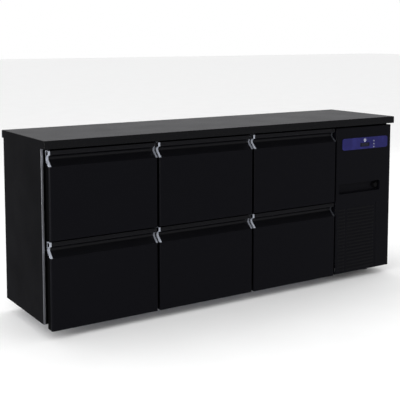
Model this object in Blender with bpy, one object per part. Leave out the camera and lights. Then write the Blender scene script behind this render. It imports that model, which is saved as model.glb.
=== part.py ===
"""Under-counter fridge: three columns of two drawers, with a machine bay on the right.

Metres, +Z up. The origin is on the floor under the middle of the cabinet. The drawers face -Y and the
cabinet's length lies along X. Depths named "back" are measured from the front plane towards +Y.
"""

import math

import bmesh
import bpy
from mathutils import Matrix, Vector

# Driving sizes
LENGTH = 2.002
DEPTH = 0.500
HEIGHT = 0.850
WORKTOP = 0.036
COLUMNS = ("left", "middle", "right")
PITCH = 0.526  # from one column of drawers to the next
DRAWER_MARGIN = 0.022  # from the worktop's left end to the outermost front
PANEL_MARGIN = 0.020  # from the worktop's right end to the machine panel
FRONT_GAP = 0.010  # between fronts that stand side by side
PANEL_START = 0.003  # from the middle of the wall beside the machine bay to the machine panel
FRONT_HEIGHT = 0.380
LOWER_Z = 0.040  # lowest edge of the lower drawer fronts
ROW_PITCH = 0.387
FRONT_THICK = 0.044
BODY_Z = 0.060  # underside of the cabinet
GAP = 0.0003  # between pieces that touch
PAST = 0.010  # how far a cutter runs past the faces it cuts

# Planes and edges that follow from them
FRONT_Y = -DEPTH / 2
FRAME_Y = FRONT_Y + 0.050
BACK_Y = DEPTH / 2 - 0.005
TOP_Z = HEIGHT - WORKTOP - GAP
LEFT_X = -LENGTH / 2 + 0.005
RIGHT_X = LENGTH / 2 - 0.005
FRONT_WIDTH = PITCH - FRONT_GAP
FIRST_X = -LENGTH / 2 + DRAWER_MARGIN
ROWS = {"lower": LOWER_Z, "upper": LOWER_Z + ROW_PITCH}
CENTRES = {name: FIRST_X + FRONT_WIDTH / 2 + i * PITCH for i, name in enumerate(COLUMNS)}

WORKTOP_EDGE = 0.002  # radius of the worktop's edges
FRONT_EDGE = 0.008  # radius of a front's upright edges

# Insulated cabinet
WALL = 0.042
BULKHEAD = 0.040
BULKHEAD_X = FIRST_X + 3 * PITCH - FRONT_GAP / 2  # middle of the wall beside the machine bay
CAVITY_FLOOR = 0.090
CAVITY_TOP = 0.785
CAVITY_BACK = BACK_Y - 0.040
MULLION = 0.040
FRAME_DEPTH = 0.040
RING = 0.008
MID_RAIL = (0.398, 0.470)
TRIM = (0.010, 0.003)  # width and depth of the strip on the front left edge
EVAPORATOR_HALF = 0.300
EVAPORATOR_DEPTH = 0.040
EVAPORATOR_Z = (0.500, 0.720)
END_PLATE = 0.012  # thickness of the evaporator's two end plates

# Handle section: an overhanging lip above a scoop, which is an arc and then a straight slope
HANDLE_DROP = 0.066
HANDLE_BACK = 0.0397
LIP_BACK = 0.012
LIP_DROP = 0.019
SCOOP_RADIUS = 0.0130
SCOOP_BACK = 0.0175  # the arc's centre, behind the front plane
SCOOP_DROP = 0.0335  # the arc's centre, below the drawer's top
SCOOP_FROM = -85.0
SCOOP_TO = 48.0
CAP_WIDTH = 0.009
CAP_BAND = 0.008  # how far a cap reaches behind the scoop

GASKET_HALF = 0.250
GASKET_Z = (0.030, 0.370)  # above the front's lower edge
GASKET_WIDTH = 0.008

# Drawer box and its runners
BOX_HALF = 0.205
BOX_BACK = 0.150
BOX_RISE = 0.062  # underside of the box above the front's lower edge
BOX_HEIGHT = 0.160
FLANGE_HEIGHT = 0.273  # of the box's tall front wall, which screws to the drawer front
SHEET = 0.002
RUNNER = 0.010
RUNNER_RISE = (0.120, 0.150)  # above the front's lower edge
RUNNER_INSET = 0.015  # from the box's front wall to the runner's front end
RAIL_CLEAR = 0.001  # beside the runner
RAIL_OUTER = 0.230  # from the column's middle to the rail's outer side
RAIL_FRONT = -0.1555
RAIL_MARGIN = 0.003  # above and below the runner
POST_TOP = 0.770
POST_DEPTH = 0.020
RAIL_BACK = BOX_BACK + 0.0075
REAR_BAR = 0.005  # thickness of the bar that joins a column's two sides

# Machine bay
CASING_SHEET = 0.003
BAY_FLOOR = BODY_Z + CASING_SHEET + GAP
BAY_X = BULKHEAD_X + BULKHEAD / 2 + GAP
PANEL_X = (BULKHEAD_X + PANEL_START, LENGTH / 2 - PANEL_MARGIN)
PANEL_Y = FRONT_Y + 0.0035
PANEL_Z = (LOWER_Z, LOWER_Z + ROW_PITCH + FRONT_HEIGHT)
SLATS = 19
SLAT_PITCH = 0.0177
SLOT = 0.010
SLAT_Z = 0.058  # middle of the lowest slot
SLAT_SPANS = ((0.016, 0.064), (0.078, 0.268))  # from the panel's left edge
RECESS = ((0.020, 0.310), (0.461, 0.514))
RECESS_DEPTH = 0.024
PANEL_EDGE = 0.004
CONTROL = ((0.038, 0.358), (0.689, 0.750))
CONTROL_CORNER = 0.014
CONTROLLER = ((0.120, 0.240), (0.695, 0.744))  # the housing behind the plate
CONTROLLER_DEPTH = 0.024
DISPLAY = ((0.162, 0.228), (0.701, 0.722))
BUTTON_X = 0.259
BUTTON_ZS = (0.7275, 0.7120, 0.6965)
BUTTON_SLOT = ((0.2505, 0.2675), (0.6905, 0.7345))  # the hole behind the three buttons
BUTTON_RADIUS = 0.0042
BUTTON_CLEAR = 0.0005
BUTTON_FLANGE = 0.0058
BUTTON_FACE = 0.0002  # behind the front plane
CONTROL_FACE = 0.0012  # behind the front plane
FAN_CENTRE = (0.790, 0.205)
CORE_HALF = 0.130  # half of the condenser's width and height
CORE_Y = (-0.190, -0.130)
SHROUD_BACK = -0.105
FAN_OPENING = 0.112
FAN_Y = -0.1165
MOTOR_Y = -0.075
COMPRESSOR_Y = 0.100
VENTS = 10
VENT_Z = 0.220  # underside of the lowest vent
VENT_PITCH = 0.030
VENT_HEIGHT = 0.010
VENT_MARGIN = 0.060
INLET = (0.900, 0.130)  # x and z of the mains inlet, in the back of the bay
INLET_HALF = (0.029, 0.018)
SOCKET_HALF = (0.013, 0.009)
SOCKET_DEPTH = 0.020
INLET_PROUD = 0.003
INLET_DEPTH = 0.030
FOOT_XS = {"left": -0.900, "middle": 0.508, "right": 0.915}
FOOT_YS = {"front": -0.125, "rear": 0.185}

COLOURS = {
    "black_steel": ((0.012, 0.012, 0.013), 0.35, 0.0),
    "black_worktop": ((0.014, 0.014, 0.015), 0.30, 0.0),
    "black_profile": ((0.013, 0.013, 0.014), 0.40, 0.0),
    "grey_plastic": ((0.42, 0.44, 0.48), 0.40, 0.0),
    "silver_trim": ((0.33, 0.34, 0.36), 0.35, 0.8),
    "gasket_rubber": ((0.020, 0.020, 0.020), 0.75, 0.0),
    "steel_sheet": ((0.50, 0.50, 0.50), 0.35, 1.0),
    "blue_panel": ((0.022, 0.022, 0.12), 0.35, 0.0),
    "white_plastic": ((0.60, 0.60, 0.62), 0.45, 0.0),
    "black_plastic": ((0.015, 0.015, 0.015), 0.50, 0.0),
    "compressor_paint": ((0.010, 0.010, 0.010), 0.45, 0.0),
    "fin_aluminium": ((0.55, 0.56, 0.57), 0.40, 1.0),
}


# ---------------------------------------------------------------- helpers
def clear_scene():
    for obj in list(bpy.data.objects):
        bpy.data.objects.remove(obj, do_unlink=True)


def material(name):
    found = bpy.data.materials.get(name)
    if found:
        return found
    colour, roughness, metallic = COLOURS[name]
    made = bpy.data.materials.new(name)
    made.use_nodes = True
    shader = made.node_tree.nodes["Principled BSDF"]
    shader.inputs["Base Color"].default_value = (*colour, 1.0)
    shader.inputs["Roughness"].default_value = roughness
    shader.inputs["Metallic"].default_value = metallic
    return made


def add_object(name, mesh, finish, location=(0, 0, 0), parent=None):
    obj = bpy.data.objects.new(name, mesh)
    bpy.context.scene.collection.objects.link(obj)
    obj.location = location
    obj.parent = parent
    mesh.materials.clear()
    mesh.materials.append(material(finish))
    return obj


def mesh_from(bm, name):
    bmesh.ops.recalc_face_normals(bm, faces=bm.faces)
    mesh = bpy.data.meshes.new(name)
    bm.to_mesh(mesh)
    bm.free()
    return mesh


def box_mesh(low, high, bevel=0.0, bevel_edges=None):
    """A box between two corners. bevel rounds its edges, or those that bevel_edges picks."""
    low, high = Vector(low), Vector(high)
    bm = bmesh.new()
    bmesh.ops.create_cube(bm, size=1.0)
    bmesh.ops.scale(bm, vec=high - low, verts=bm.verts)
    bmesh.ops.translate(bm, vec=(high + low) / 2, verts=bm.verts)
    if bevel:
        edges = [e for e in bm.edges if bevel_edges is None or bevel_edges(e)]
        bmesh.ops.bevel(bm, geom=edges, offset=bevel, segments=3, profile=0.5, affect="EDGES")
    return mesh_from(bm, "box")


def prism_mesh(outline, start, end, to_point):
    """A closed outline extruded from start to end; to_point turns (a, b, along) into a point."""
    bm = bmesh.new()
    rings = [[bm.verts.new(to_point(a, b, along)) for a, b in outline] for along in (start, end)]
    bm.faces.new(rings[0])
    bm.faces.new(rings[1])
    for i in range(len(outline)):
        j = (i + 1) % len(outline)
        bm.faces.new((rings[0][i], rings[0][j], rings[1][j], rings[1][i]))
    return mesh_from(bm, "prism")


def lathe_mesh(profile, segments=24):
    """A (radius, height) profile from axis to axis, turned about Z."""
    bm = bmesh.new()
    verts = [bm.verts.new((r, 0.0, z)) for r, z in profile]
    edges = [bm.edges.new(pair) for pair in zip(verts, verts[1:])]
    bmesh.ops.spin(bm, geom=verts + edges, axis=(0, 0, 1), cent=(0, 0, 0), steps=segments,
                   angle=math.tau, use_duplicate=False)
    bmesh.ops.remove_doubles(bm, verts=bm.verts, dist=1e-6)
    return mesh_from(bm, "lathe")


def placed(mesh, matrix):
    mesh.transform(matrix)
    return mesh


def combine(first, steps):
    """The mesh left after joining ("UNION") or cutting ("DIFFERENCE") each (operation, mesh) in turn."""
    base = bpy.data.objects.new("base", first)
    bpy.context.scene.collection.objects.link(base)
    helpers = []
    for operation, mesh in steps:
        helper = bpy.data.objects.new("helper", mesh)
        bpy.context.scene.collection.objects.link(helper)
        helpers.append(helper)
        boolean = base.modifiers.new(operation, "BOOLEAN")
        boolean.operation = operation
        boolean.solver = "EXACT"
        boolean.object = helper
    graph = bpy.context.evaluated_depsgraph_get()
    result = bpy.data.meshes.new_from_object(base.evaluated_get(graph))
    for obj in (base, *helpers):
        bpy.data.objects.remove(obj, do_unlink=True)
    return result


def join(low, high):
    return "UNION", box_mesh(low, high)


def cut(low, high):
    return "DIFFERENCE", box_mesh(low, high)


def shade(mesh):
    mesh.shade_smooth()
    mesh.set_sharp_from_angle(angle=math.radians(35))
    return mesh


# ---------------------------------------------------------------- cabinet
def make_worktop():
    low = (-LENGTH / 2, -DEPTH / 2, HEIGHT - WORKTOP)
    high = (LENGTH / 2, DEPTH / 2, HEIGHT)
    add_object("worktop", box_mesh(low, high, bevel=WORKTOP_EDGE), "black_worktop")


def make_cabinet():
    shell = box_mesh((LEFT_X, FRAME_Y, BODY_Z), (BULKHEAD_X + BULKHEAD / 2, BACK_Y, TOP_Z))
    cavity = cut((LEFT_X + WALL, FRAME_Y - PAST, CAVITY_FLOOR),
                 (BULKHEAD_X - BULKHEAD / 2, CAVITY_BACK, CAVITY_TOP))
    add_object("insulated_cabinet", combine(shell, [cavity]), "black_steel")


def opening_edges():
    """The left and right edge of each column's opening in the front frame."""
    inner = [LEFT_X + WALL + GAP + RING]
    for name in COLUMNS[:-1]:
        boundary = CENTRES[name] + PITCH / 2
        inner += [boundary - MULLION / 2, boundary + MULLION / 2]
    inner.append(BULKHEAD_X - BULKHEAD / 2 - GAP - RING)
    return list(zip(inner[::2], inner[1::2]))


def make_front_frame():
    low = (LEFT_X + WALL + GAP, FRAME_Y, CAVITY_FLOOR + GAP)
    high = (BULKHEAD_X - BULKHEAD / 2 - GAP, FRAME_Y + FRAME_DEPTH, CAVITY_TOP - GAP)
    rows = ((low[2] + RING, MID_RAIL[0]), (MID_RAIL[1], high[2] - RING))
    holes = [cut((x0, FRAME_Y - PAST, z0), (x1, FRAME_Y + FRAME_DEPTH + PAST, z1))
             for x0, x1 in opening_edges() for z0, z1 in rows]
    add_object("front_frame", combine(box_mesh(low, high), holes), "black_steel")


def make_edge_trim():
    width, depth = TRIM
    back = FRAME_Y - GAP
    strip = box_mesh((LEFT_X - GAP, back - depth, BODY_Z), (LEFT_X - GAP + width, back, TOP_Z))
    add_object("left_edge_trim", strip, "silver_trim")


def make_evaporator():
    half, front, back = EVAPORATOR_HALF, CAVITY_BACK - EVAPORATOR_DEPTH, CAVITY_BACK - GAP
    low, high = EVAPORATOR_Z
    block = box_mesh((0.001 - half, front + 0.004, low + 0.006), (half - 0.001, back, high - 0.006))
    ends = [join((x, front, low), (x + END_PLATE, back, high)) for x in (-half, half - END_PLATE)]
    add_object("evaporator", combine(block, ends), "fin_aluminium")


def make_rail_frame(column):
    """The fixed runners of a column: two side racks joined by a bar behind the boxes."""
    x = CENTRES[column]
    floor = CAVITY_FLOOR + GAP
    bar = box_mesh((x - RAIL_OUTER, RAIL_BACK - REAR_BAR, floor + 0.005), (x + RAIL_OUTER, RAIL_BACK, 0.125))
    low, high = RUNNER_RISE
    steps = []
    for side in (-1, 1):
        x0, x1 = sorted(x + side * edge for edge in (BOX_HALF + RUNNER + RAIL_CLEAR, RAIL_OUTER))
        for front in (RAIL_BACK - POST_DEPTH, RAIL_FRONT + 0.0005):
            steps.append(join((x0, front, floor), (x1, front + POST_DEPTH, POST_TOP)))
        for bottom in ROWS.values():
            z0, z1 = bottom + low - RAIL_MARGIN, bottom + high + RAIL_MARGIN
            steps.append(join((x0, RAIL_FRONT, z0), (x1, RAIL_BACK - 0.010, z1)))
    add_object(f"{column}_rail_frame", combine(bar, steps), "steel_sheet")


# ---------------------------------------------------------------- drawers
def scoop_curve(offset, start, last_drop, steps):
    """The scoop's (back, drop) points, set back by offset: an arc from start, then the slope."""
    radius = SCOOP_RADIUS + offset
    angles = [math.radians(start + (SCOOP_TO - start) * i / steps) for i in range(steps + 1)]
    curve = [(SCOOP_BACK + radius * math.cos(a), SCOOP_DROP + radius * math.sin(a)) for a in angles]
    back, drop = curve[-1]
    return curve + [(back - (last_drop - drop) * math.tan(angles[-1]), last_drop)]


def handle_outline():
    lip = [(LIP_BACK + 0.0015, 0.0), (LIP_BACK, 0.0015), (LIP_BACK, LIP_DROP)]
    scoop = scoop_curve(0.0, SCOOP_FROM, HANDLE_DROP - 0.0002, 12)
    return lip + scoop + [(0.0, HANDLE_DROP), (HANDLE_BACK, HANDLE_DROP), (HANDLE_BACK, 0.0)]


def cap_outline():
    """A hook: the lip's full depth at the top, then a band that follows the scoop to a point."""
    front = [(LIP_BACK - 0.0005, 0.0005), (LIP_BACK - 0.0005, LIP_DROP)]
    front += scoop_curve(-0.0005, SCOOP_FROM, HANDLE_DROP - 0.0005, 10)
    rear = scoop_curve(CAP_BAND, -20.0, HANDLE_DROP, 6)
    return front + [(0.0003, HANDLE_DROP)] + rear[::-1] + [(HANDLE_BACK - 0.0005, 0.0005)]


def front_outline():
    """The foamed panel below the handle, with a thin plate rising behind the handle."""
    top = HANDLE_DROP + GAP
    plate = HANDLE_BACK + GAP
    return [(0.0, top), (0.0, FRONT_HEIGHT), (FRONT_THICK, FRONT_HEIGHT), (FRONT_THICK, 0.0),
            (plate, 0.0), (plate, top)]


def section_point(back, drop, along):
    """A drawer's own frame: x along the front, y back from its face, z down from its top."""
    return along, back, FRONT_HEIGHT - drop


def rounded_front_mesh():
    half = FRONT_WIDTH / 2
    mesh = prism_mesh(front_outline(), -half, half, section_point)
    bm = bmesh.new()
    bm.from_mesh(mesh)

    def at_front(vert):
        return vert.co.y < 1e-6

    def is_upright(edge):
        return abs(edge.verts[0].co.x - edge.verts[1].co.x) < 1e-6

    upright = [e for e in bm.edges if is_upright(e) and all(map(at_front, e.verts))]
    bmesh.ops.bevel(bm, geom=upright, offset=FRONT_EDGE, segments=4, profile=0.5, affect="EDGES")
    return mesh_from(bm, "drawer_front")


def box_with_runners_mesh():
    """The sheet box, its tall front flange and the moving runners, with y from the front's face."""
    face = FRONT_THICK + GAP
    back = BOX_BACK - FRONT_Y
    floor, rim = BOX_RISE, BOX_RISE + BOX_HEIGHT
    tray = box_mesh((-BOX_HALF, face, floor), (BOX_HALF, back, rim))
    inner = BOX_HALF - SHEET
    steps = [cut((-inner, face + SHEET, floor + SHEET), (inner, back - SHEET, rim + PAST)),
             join((-BOX_HALF, face, rim - PAST), (BOX_HALF, face + SHEET, BOX_RISE + FLANGE_HEIGHT))]
    low, high = RUNNER_RISE
    for side in (-1, 1):
        x0, x1 = sorted((side * (BOX_HALF - SHEET / 2), side * (BOX_HALF + RUNNER)))
        steps.append(join((x0, face + RUNNER_INSET, low), (x1, back, high)))
    return combine(tray, steps)


def gasket_mesh():
    """A magnetic seal ring on the back of a front, which meets the cabinet's face."""
    y0, y1 = FRONT_THICK + GAP, FRAME_Y - FRONT_Y - GAP
    half, (low, high) = GASKET_HALF, GASKET_Z
    inner = half - GASKET_WIDTH
    ring = box_mesh((-half, y0, low), (half, y1, high))
    hole = cut((-inner, y0 - PAST, low + GASKET_WIDTH), (inner, y1 + PAST, high - GASKET_WIDTH))
    return combine(ring, [hole])


def make_drawers():
    half = FRONT_WIDTH / 2
    inner = half - CAP_WIDTH - GAP
    meshes = {
        "front": (rounded_front_mesh(), "black_steel"),
        "handle": (shade(prism_mesh(handle_outline(), -inner, inner, section_point)), "black_profile"),
        "cap_left": (prism_mesh(cap_outline(), -half, -half + CAP_WIDTH, section_point), "grey_plastic"),
        "cap_right": (prism_mesh(cap_outline(), half - CAP_WIDTH, half, section_point), "grey_plastic"),
        "box": (box_with_runners_mesh(), "steel_sheet"),
        "gasket": (gasket_mesh(), "gasket_rubber"),
    }
    for row, bottom in ROWS.items():
        for column, x in CENTRES.items():
            drawer = bpy.data.objects.new(f"{row}_{column}_drawer", None)
            bpy.context.scene.collection.objects.link(drawer)
            drawer.location = (x, FRONT_Y, bottom)
            for piece, (mesh, finish) in meshes.items():
                add_object(f"{row}_{column}_{piece}", mesh, finish, parent=drawer)


# ---------------------------------------------------------------- machine bay
def make_machine_casing():
    low, high = (BAY_X, FRAME_Y, BODY_Z), (RIGHT_X, BACK_Y, TOP_Z)
    base = box_mesh(low, (high[0], high[1], low[2] + CASING_SHEET))
    steps = [join((high[0] - CASING_SHEET, low[1], low[2]), high),
             join((low[0], high[1] - CASING_SHEET, low[2]), high)]
    for i in range(VENTS):
        z = VENT_Z + i * VENT_PITCH
        steps.append(cut((low[0] + VENT_MARGIN, high[1] - PAST, z),
                         (high[0] - VENT_MARGIN, high[1] + PAST, z + VENT_HEIGHT)))
    x, z = INLET
    for shape, (half_x, half_z), y0, y1 in ((join, INLET_HALF, BACK_Y - INLET_DEPTH, BACK_Y + INLET_PROUD),
                                            (cut, SOCKET_HALF, BACK_Y - SOCKET_DEPTH, BACK_Y + PAST)):
        steps.append(shape((x - half_x, y0, z - half_z), (x + half_x, y1, z + half_z)))
    add_object("machine_bay_casing", combine(base, steps), "black_steel")


def make_machine_front():
    x0, x1 = PANEL_X
    z0, z1 = PANEL_Z
    rear = FRONT_Y + FRONT_THICK - GAP
    tray = box_mesh((x0, PANEL_Y, z0), (x1, rear, z1), bevel=PANEL_EDGE,
                    bevel_edges=lambda e: all(v.co.y < PANEL_Y + 1e-6 for v in e.verts))

    def through(left, right, bottom, top, depth=PAST):
        return cut((x0 + left, PANEL_Y - PAST, bottom), (x0 + right, PANEL_Y + depth, top))

    (left, right), (bottom, top) = RECESS
    steps = [cut((x0 + SHEET, PANEL_Y + SHEET, z0 + SHEET), (x1 - SHEET, rear + PAST, z1 - SHEET)),
             join((x0 + left - SHEET, PANEL_Y + SHEET * 0.75, bottom - SHEET),
                  (x0 + right + SHEET, PANEL_Y + RECESS_DEPTH + SHEET, top + SHEET)),
             through(left, right, bottom, top, RECESS_DEPTH)]
    for (left, right), (bottom, top) in (CONTROLLER, BUTTON_SLOT):
        steps.append(through(left - 0.0005, right + 0.0005, bottom - 0.0005, top + 0.0005))
    for i in range(SLATS):
        z = SLAT_Z + i * SLAT_PITCH
        for left, right in SLAT_SPANS:
            steps.append(through(left, right, z - SLOT / 2, z + SLOT / 2))
    add_object("machine_front_panel", combine(tray, steps), "black_steel")


def y_axis(x, y, z):
    """Places a shape turned about Z so that its own +Z runs towards +Y from (x, y, z)."""
    return Matrix.Translation((x, y, z)) @ Matrix.Rotation(-math.pi / 2, 4, "X")


def make_control_panel():
    x0 = PANEL_X[0]
    (cx0, cx1), (cz0, cz1) = CONTROL
    (hx0, hx1), (hz0, hz1) = CONTROLLER
    (dx0, dx1), (dz0, dz1) = DISPLAY
    face, rear = FRONT_Y + CONTROL_FACE, PANEL_Y - GAP
    plate = box_mesh((x0 + cx0, face, cz0), (x0 + cx1, rear, cz1), bevel=CONTROL_CORNER,
                     bevel_edges=lambda e: abs(e.verts[0].co.y - e.verts[1].co.y) > 1e-5)
    steps = [join((x0 + hx0, rear - 0.0005, hz0), (x0 + hx1, rear + CONTROLLER_DEPTH, hz1)),
             cut((x0 + dx0, face - PAST, dz0), (x0 + dx1, face + 0.001, dz1))]
    r = BUTTON_RADIUS + BUTTON_CLEAR
    for z in BUTTON_ZS:
        hole = lathe_mesh([(0, 0), (r, 0), (r, 2 * PAST), (0, 2 * PAST)], 16)
        steps.append(("DIFFERENCE", placed(hole, y_axis(x0 + BUTTON_X, face - PAST, z))))
    add_object("control_panel", combine(plate, steps), "blue_panel")


def make_buttons():
    face = FRONT_Y + BUTTON_FACE
    reach = PANEL_Y + GAP - face  # from the button's face to its flange, just behind the control plate
    r = BUTTON_RADIUS
    back = reach + 0.0015
    profile = [(0, 0), (r - 0.0006, 0), (r, 0.0006), (r, reach), (BUTTON_FLANGE, reach),
               (BUTTON_FLANGE, back), (0, back)]
    mesh = shade(lathe_mesh(profile, 16))
    for name, z in zip(("upper", "middle", "lower"), BUTTON_ZS):
        button = add_object(f"{name}_button", mesh, "white_plastic")
        button.matrix_world = y_axis(PANEL_X[0] + BUTTON_X, face, z)


def make_condenser():
    x, z = FAN_CENTRE
    half, r, (front, back) = CORE_HALF, FAN_OPENING, CORE_Y
    core = box_mesh((x - half, front, z - half), (x + half, back, z + half))
    hole = placed(lathe_mesh([(0, 0), (r, 0), (r, 0.05), (0, 0.05)], 32), y_axis(x, back + GAP, z))
    shroud = join((x - half, back - 0.0005, z - half), (x + half, SHROUD_BACK, z + half))
    steps = [shroud, ("DIFFERENCE", hole)]
    for side in (-1, 1):
        x0, x1 = sorted((x + side * (half - 0.025), x + side * (half - 0.005)))
        steps.append(join((x0, front + 0.015, BAY_FLOOR), (x1, back - 0.010, z - half + 0.005)))
    add_object("condenser", combine(core, steps), "fin_aluminium")


def blade_mesh(turn):
    """A twisted blade from the hub out, pitched about its own radius."""
    bm = bmesh.new()
    stations = ((0.020, 36.0, 0.030), (0.060, 28.0, 0.045), (0.104, 20.0, 0.058))
    thick = 0.0012
    rows = []
    for radius, pitch, chord in stations:
        a = math.radians(pitch)
        along, rise = chord / 2 * math.cos(a), chord / 2 * math.sin(a) * 0.45
        corners = ((-along, -rise - thick), (along, rise - thick),
                   (along, rise + thick), (-along, -rise + thick))
        rows.append([bm.verts.new((radius, y, z)) for y, z in corners])
    bm.faces.new(rows[0])
    bm.faces.new(rows[-1])
    for inner, outer in zip(rows, rows[1:]):
        for i in range(4):
            j = (i + 1) % 4
            bm.faces.new((inner[i], inner[j], outer[j], outer[i]))
    bmesh.ops.rotate(bm, verts=bm.verts, cent=(0, 0, 0), matrix=Matrix.Rotation(turn, 3, "Z"))
    return mesh_from(bm, "blade")


def make_fan_and_motor():
    x, z = FAN_CENTRE
    hub = lathe_mesh([(0, -0.008), (0.024, -0.008), (0.028, -0.004), (0.028, 0.010), (0.004, 0.010),
                      (0.004, 0.050), (0, 0.050)], 20)
    blades = [("UNION", blade_mesh(math.tau * i / 5)) for i in range(5)]
    fan = add_object("condenser_fan", combine(hub, blades), "black_plastic")
    fan.matrix_world = y_axis(x, FAN_Y, z)
    can = [(0, 0), (0.026, 0), (0.030, 0.004), (0.030, 0.036), (0.026, 0.040), (0, 0.040)]
    motor = placed(lathe_mesh(can, 24), y_axis(x, MOTOR_Y, z))
    bore = lathe_mesh([(0, -PAST), (0.0045, -PAST), (0.0045, PAST), (0, PAST)], 16)
    steps = [("DIFFERENCE", placed(bore, y_axis(x, MOTOR_Y, z))),
             join((x - 0.015, MOTOR_Y + 0.023, BAY_FLOOR), (x + 0.015, MOTOR_Y + 0.026, z - 0.020)),
             join((x - 0.030, MOTOR_Y, BAY_FLOOR), (x + 0.030, MOTOR_Y + 0.040, BODY_Z + 0.006))]
    add_object("fan_motor", combine(motor, steps), "compressor_paint")


def make_compressor():
    can = lathe_mesh([(0, 0.002), (0.066, 0.002), (0.080, 0.012), (0.085, 0.035), (0.085, 0.060),
                      (0.088, 0.062), (0.088, 0.070), (0.085, 0.072), (0.085, 0.125), (0.079, 0.155),
                      (0.060, 0.176), (0.030, 0.186), (0, 0.188)], 28)
    foot = join((-0.095, -0.060, 0.0), (0.095, 0.060, 0.004))
    pump = add_object("compressor", shade(combine(can, [foot])), "compressor_paint")
    pump.location = (FAN_CENTRE[0], COMPRESSOR_Y, BAY_FLOOR)


def make_feet():
    """Levelling feet: a pad, a threaded stem and the plate that screws to the cabinet."""
    top = BODY_Z - GAP
    profile = [(0, 0), (0.023, 0), (0.025, 0.003), (0.022, 0.010), (0.009, 0.013), (0.009, top - 0.008),
               (0.028, top - 0.004), (0.028, top), (0, top)]
    mesh = shade(lathe_mesh(profile, 20))
    for end, x in FOOT_XS.items():
        for row, y in FOOT_YS.items():
            add_object(f"{row}_{end}_foot", mesh, "black_plastic", location=(x, y, 0))


def main():
    clear_scene()
    make_worktop()
    make_cabinet()
    make_front_frame()
    make_edge_trim()
    make_evaporator()
    for column in COLUMNS:
        make_rail_frame(column)
    make_drawers()
    make_machine_casing()
    make_machine_front()
    make_control_panel()
    make_buttons()
    make_condenser()
    make_fan_and_motor()
    make_compressor()
    make_feet()


main()
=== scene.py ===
from math import copysign, cos, pi, radians, sin, tan, tau

import bmesh
import bpy
from mathutils import Matrix, Vector


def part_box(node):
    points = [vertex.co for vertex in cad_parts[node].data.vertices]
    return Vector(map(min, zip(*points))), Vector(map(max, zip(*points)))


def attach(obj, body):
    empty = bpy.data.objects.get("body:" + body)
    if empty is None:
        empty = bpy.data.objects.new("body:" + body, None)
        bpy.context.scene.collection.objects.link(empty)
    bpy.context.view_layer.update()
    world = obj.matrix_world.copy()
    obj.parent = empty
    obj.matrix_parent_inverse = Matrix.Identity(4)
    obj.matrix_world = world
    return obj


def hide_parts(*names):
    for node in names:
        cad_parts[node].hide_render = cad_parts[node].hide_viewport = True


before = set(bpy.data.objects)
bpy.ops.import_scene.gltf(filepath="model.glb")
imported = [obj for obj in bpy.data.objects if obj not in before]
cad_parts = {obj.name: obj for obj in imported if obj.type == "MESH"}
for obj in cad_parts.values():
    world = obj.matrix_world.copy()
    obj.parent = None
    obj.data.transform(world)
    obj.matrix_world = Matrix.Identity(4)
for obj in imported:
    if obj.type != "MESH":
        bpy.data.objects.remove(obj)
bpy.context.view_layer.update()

# ---- sizes, in metres
X, Y, Z = range(3)
ROWS = ("lower", "upper")
COLUMNS = ("left", "middle", "right")
BUTTONS = ("upper_button", "middle_button", "lower_button")
CLEAR = 0.0003  # between pieces that almost touch
THROUGH = 0.01  # how far a cutter stands out of what it cuts
LIP_BACK = 0.012  # the grip's lip, behind the fronts' plane
LIP_DROP = 0.019  # the lip's lower edge, below the drawer's top
SCOOP_RADIUS = 0.013
SCOOP_CENTRE = (0.0175, 0.0335)  # behind the fronts' plane, below the drawer's top
SCOOP_TO = 48.0  # where the scoop's arc turns into a straight slope, in degrees
HANDLE_DROP = 0.066  # the grip's height
HANDLE_BACK = 0.0397  # its back, behind the fronts' plane
CAP_WIDTH = 0.009
CAP_BAND = 0.008  # how wide a cap's band is along the scoop
SKIN_RETURN = 0.011  # how far a front's painted skin turns back round its edges
PANEL_THICK = 0.044  # a drawer front's depth
WALL = 0.0012  # sheet metal
BAY_WALL = 0.0015
RUNNER_UP = 0.135  # a drawer runner's middle, above the front's lower edge
MIDDLE_RAIL = (0.398, 0.47)  # the front frame's middle rail, from and to this height
SHARP = radians(50)  # a carved edge that turns more than this is rounded
FRONT_GAP = 0.01  # between fronts that stand side by side
SLATS = 19
SLAT_PITCH = 0.0177
SLOT = 0.01  # a louvre slot's height
SLAT_Z = 0.058  # the lowest slot's middle
SLAT_SPANS = ((0.016, 0.064), (0.078, 0.268))  # from the machine panel's left edge
RECESS = ((0.02, 0.31), (0.461, 0.514))  # across from the panel's left edge, and in height
CONDENSER_HALF = 0.13  # half of the condenser's height

TOP_LOW, TOP_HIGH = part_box("worktop")
SHELL_LOW, SHELL_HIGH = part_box("insulated_cabinet")
PANEL_LOW, PANEL_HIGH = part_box("machine_front_panel")
BAY_LOW, BAY_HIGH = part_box("machine_bay_casing")


# ---- materials
def socket_of(material, name):
    return material.node_tree.nodes["Principled BSDF"].inputs[name]


def add_node(material, kind, **settings):
    node = material.node_tree.nodes.new(kind)
    for key, value in settings.items():
        if key in node.inputs:
            node.inputs[key].default_value = value
        else:
            setattr(node, key, value)
    return node


def noise_of(material, scale, stretch=(1, 1, 1), detail=3.0, offset=(0, 0, 0)):
    """Noise in the piece's own metres: scale is cycles a metre, stretch scales each axis."""
    where = add_node(material, "ShaderNodeTexCoord")
    mapping = add_node(material, "ShaderNodeMapping", Scale=stretch, Location=offset)
    noise = add_node(material, "ShaderNodeTexNoise", Scale=scale, Detail=detail)
    link = material.node_tree.links.new
    link(where.outputs["Object"], mapping.inputs["Vector"])
    link(mapping.outputs["Vector"], noise.inputs["Vector"])
    return noise.outputs["Fac"]


def spread(material, value, low, high, start=0.3, end=0.7):
    node = add_node(material, "ShaderNodeMapRange")
    node.inputs["From Min"].default_value = start
    node.inputs["From Max"].default_value = end
    node.inputs["To Min"].default_value = low
    node.inputs["To Max"].default_value = high
    material.node_tree.links.new(value, node.inputs["Value"])
    return node.outputs["Result"]


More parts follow.
